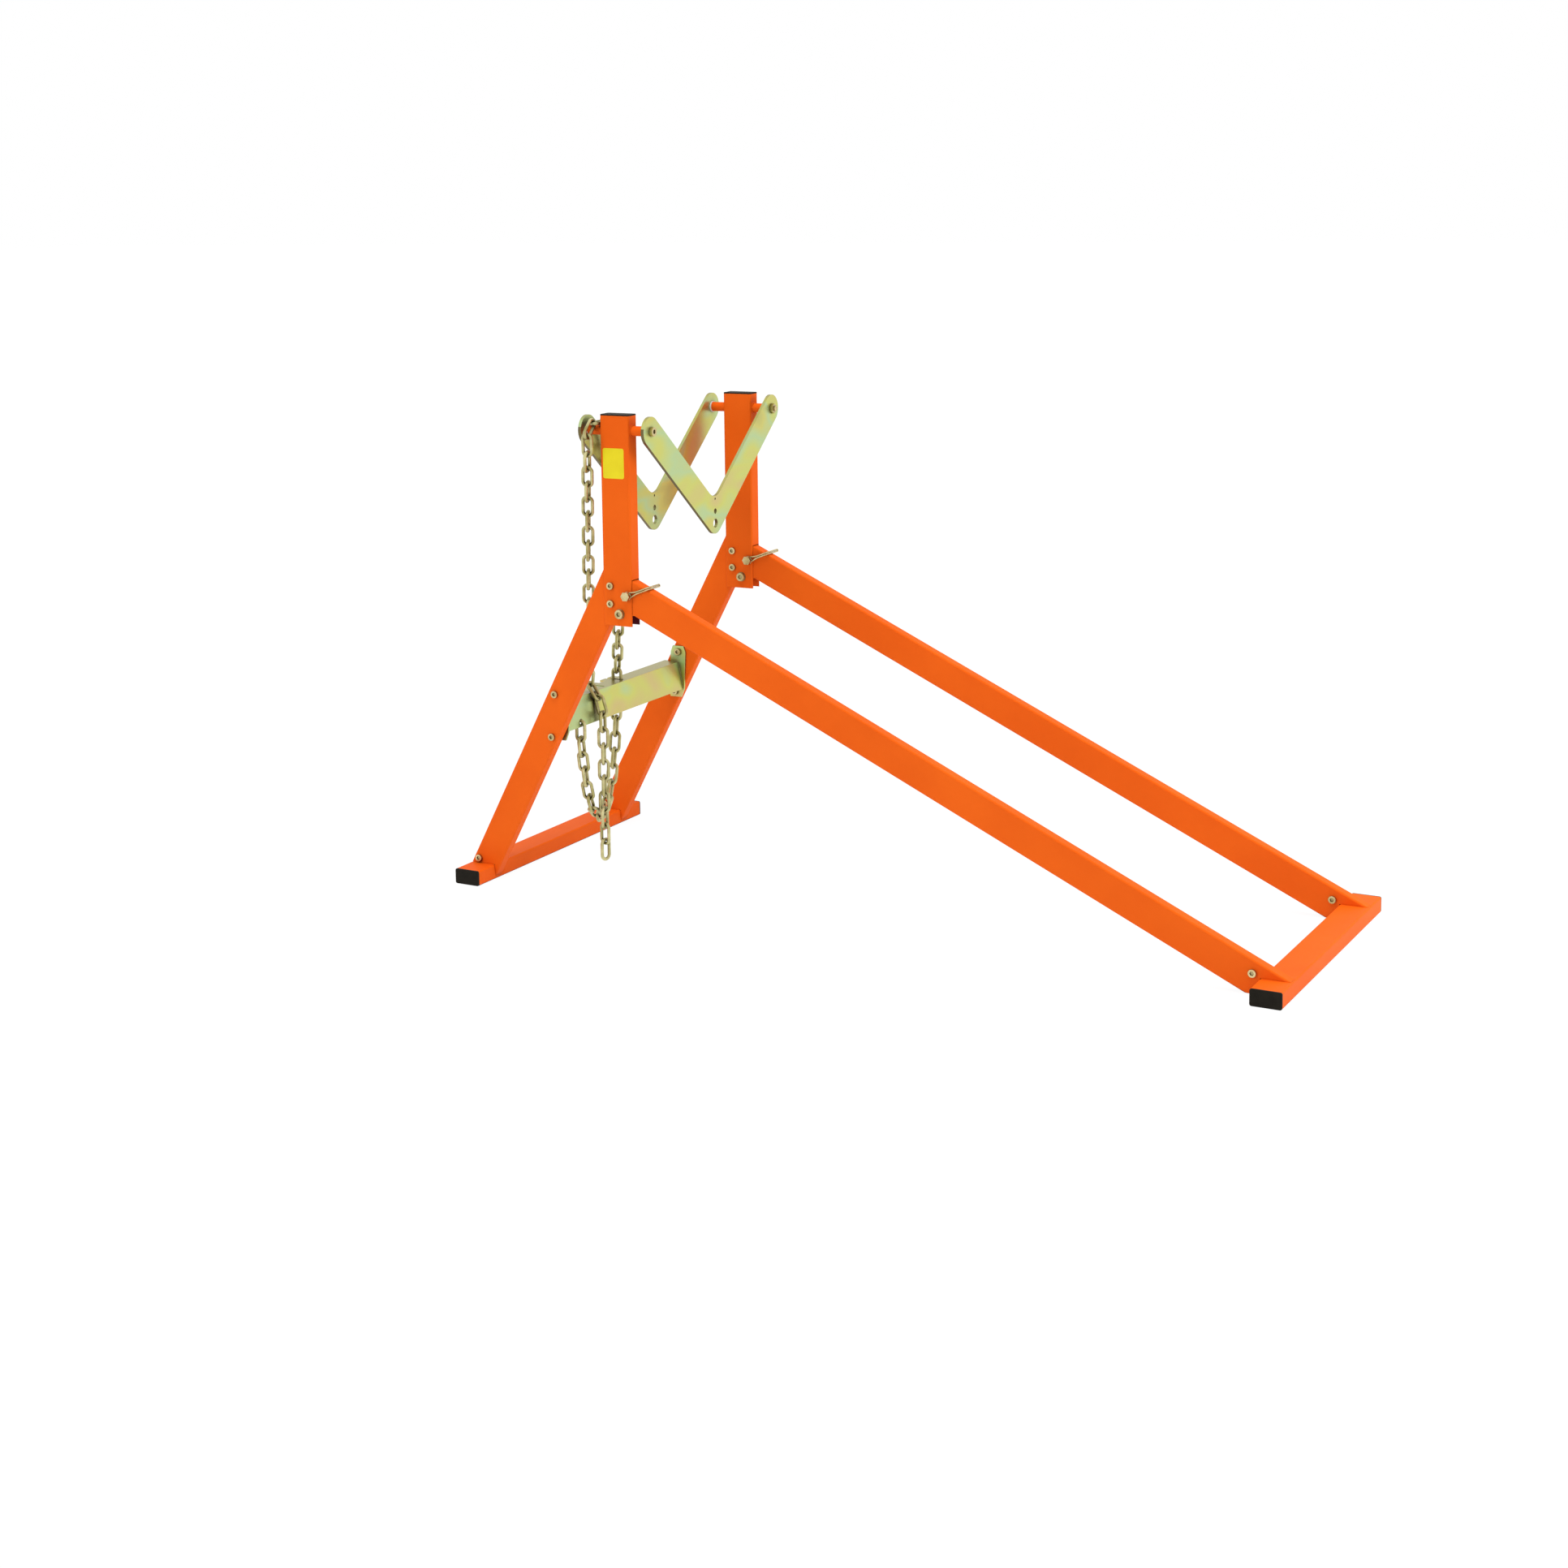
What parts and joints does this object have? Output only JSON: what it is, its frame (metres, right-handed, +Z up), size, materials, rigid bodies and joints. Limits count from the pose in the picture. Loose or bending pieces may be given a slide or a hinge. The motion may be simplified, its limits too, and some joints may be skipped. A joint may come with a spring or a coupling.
{
  "type": "folding log saw stand",
  "caption": "Folding steel saw stand with two leaning side frames, a V cradle held between upright posts, a hold-down chain hooked in a crossbar and pinned fold-away rear legs.",
  "frame": {"origin": "on the ground, at the middle of the box round the working stand", "axes": "+X runs from the front foot bar (below the posts) to the rear foot bar, -Y is the side that carries the bolt heads, +Z is up"},
  "size_m": [1.32, 0.5, 0.75],
  "materials": {
    "orange_coat": "satin powder coat on steel tube",
    "zinc_plate": "yellow iridescent zinc passivation",
    "chain_zinc": "pale yellow zinc on round wire",
    "bright_zinc": "bright zinc on fasteners",
    "black_plastic": "moulded end caps",
    "white_nylon": "moulded washers"
  },
  "bodies": {
    "frame": {"near_post": "orange_coat", "far_post": "orange_coat", "near_post_cap": "black_plastic", "far_post_cap": "black_plastic", "near_front_leg": "orange_coat", "far_front_leg": "orange_coat", "front_foot_bar": "orange_coat", "near_front_foot_cap": "black_plastic", "far_front_foot_cap": "black_plastic", "crossbar": "zinc_plate", "near_cross_tube": "orange_coat", "far_cross_tube": "orange_coat", "front_cradle_plate": "zinc_plate", "rear_cradle_plate": "zinc_plate", "near_arm_bolt": "bright_zinc", "far_arm_bolt": "bright_zinc", "arm_nuts": "bright_zinc", "nylon_washers": "white_nylon", "leg_bolts": "bright_zinc", "leg_nuts": "bright_zinc", "near_pivot_bolt": "bright_zinc", "far_pivot_bolt": "bright_zinc", "pivot_nuts": "bright_zinc", "pivot_washers": "bright_zinc", "crossbar_bolts": "bright_zinc", "crossbar_nuts": "bright_zinc", "front_foot_bolts": "bright_zinc", "front_foot_nuts": "bright_zinc", "chain_upper_run": "chain_zinc", "chain_loop": "chain_zinc", "chain_tail": "chain_zinc"},
    "rear_frame": {"near_rear_leg": "orange_coat", "far_rear_leg": "orange_coat", "rear_foot_bar": "orange_coat", "near_rear_foot_cap": "black_plastic", "far_rear_foot_cap": "black_plastic", "rear_foot_bolts": "bright_zinc", "rear_foot_nuts": "bright_zinc"},
    "near_pin": {"near_lock_pin": "bright_zinc"},
    "far_pin": {"far_lock_pin": "bright_zinc"},
    "near_clip": {"near_pin_clip": "bright_zinc"},
    "far_clip": {"far_pin_clip": "bright_zinc"}
  },
  "joints": [
    {"name": "rear_fold", "type": "hinge", "parent": "frame", "child": "rear_frame", "pos_m": [-0.3716, 0, 0.4466], "axis": [0, 1, 0], "range_deg": [0, 90]},
    {"name": "near_pin_pull", "type": "slide", "parent": "frame", "child": "near_pin", "axis": [0, -1, 0], "range_m": [0, 0.06]},
    {"name": "far_pin_pull", "type": "slide", "parent": "frame", "child": "far_pin", "axis": [0, -1, 0], "range_m": [0, 0.06]},
    {"name": "near_clip_swing", "type": "hinge", "parent": "near_pin", "child": "near_clip", "pos_m": [-0.35824, -0.1935, 0.47502], "axis": [0, -1, 0], "range_deg": [0, 45]},
    {"name": "far_clip_swing", "type": "hinge", "parent": "far_pin", "child": "far_clip", "pos_m": [-0.35824, 0.1935, 0.47502], "axis": [0, -1, 0], "range_deg": [0, 45]}
  ]
}
